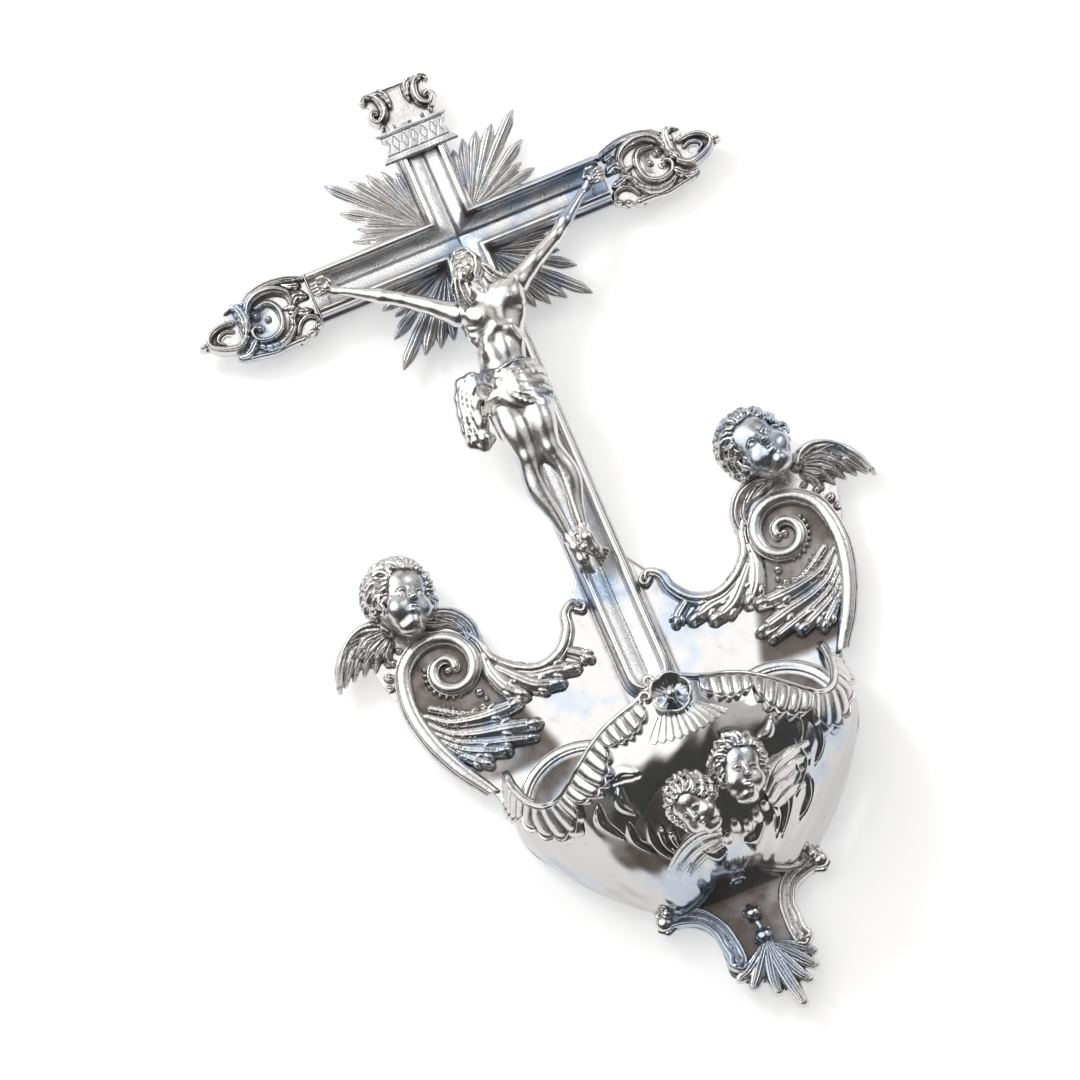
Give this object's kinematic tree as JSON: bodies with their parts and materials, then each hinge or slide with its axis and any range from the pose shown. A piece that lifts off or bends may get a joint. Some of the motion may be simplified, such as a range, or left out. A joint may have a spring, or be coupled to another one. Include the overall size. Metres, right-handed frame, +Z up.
{
  "type": "wall-hung holy water stoup",
  "caption": "Wall-hung silver holy water stoup: a crucifix with ray sheaves as the shank of an anchor whose volutes carry cherub heads, over a waved-rim half bowl with shell border.",
  "frame": {"origin": "middle of the cross, on the wall side of its back sheet", "axes": "+X to the viewer's right, +Y into the wall, +Z up"},
  "size_m": [0.1868, 0.0573, 0.3325],
  "materials": {
    "silver_smooth": "polished silver sheet, faintly hammered, a little tarnish in the low places",
    "silver_chased": "chased silver relief, bright on the high places and grey-brown in the low ones",
    "silver_satin": "satin silver in the hollow of the cross, fine grain",
    "silver_wire": "bright drawn silver bead and rim wire",
    "silver_cast": "cast and chased silver of the figure, oxidised in the folds"
  },
  "bodies": {
    "root": {"cross_back": "silver_smooth", "cross_front": "silver_satin", "bead_upper_right": "silver_wire", "bead_upper_left": "silver_wire", "bead_lower": "silver_wire", "hanging_eye": "silver_wire", "titulus": "silver_satin", "rays_upper_right": "silver_chased", "rays_upper_left": "silver_chased", "rays_lower_right": "silver_chased", "rays_lower_left": "silver_chased", "terminal_right": "silver_chased", "terminal_left": "silver_chased", "crest": "silver_chased", "rim_wire": "silver_wire", "bowl": "silver_smooth", "anchor_plate": "silver_smooth", "heart_lobe_right": "silver_wire", "heart_lobe_left": "silver_wire", "volute_right": "silver_chased", "volute_left": "silver_chased", "volute_beads_right": "silver_chased", "volute_beads_left": "silver_chased", "leaf_arm_right": "silver_chased", "leaf_arm_left": "silver_chased", "spray_right": "silver_chased", "spray_left": "silver_chased", "spray_berries": "silver_chased", "cherub_head_right": "silver_chased", "cherub_head_left": "silver_chased", "cherub_wing_right": "silver_chased", "cherub_wing_left": "silver_chased", "shoulder_leaf_right": "silver_chased", "shoulder_leaf_left": "silver_chased", "shell_border_right": "silver_chased", "shell_border_left": "silver_chased", "flower_fan": "silver_chased", "rim_flower": "silver_chased", "flower_stud": "silver_chased", "bowl_cherub_large": "silver_chased", "bowl_cherub_small": "silver_chased", "bowl_cherub_wings": "silver_chased", "apron_scroll_right": "silver_chased", "apron_scroll_left": "silver_chased", "apron_balls": "silver_chased", "apron_berries": "silver_chased", "apron_tail": "silver_chased", "corpus_nails": "silver_cast", "nail_nuts": "silver_cast", "corpus_body": "silver_cast", "corpus_arm_right": "silver_cast", "corpus_arm_left": "silver_cast", "corpus_drape": "silver_cast"},
    "ring": {"hanging_ring": "silver_wire"}
  },
  "joints": [
    {"name": "ring_swing", "type": "hinge", "parent": "root", "child": "ring", "pos_m": [0, -0.0016, 0.024], "axis": [1, 0, 0], "range_deg": [-4, 110]}
  ]
}
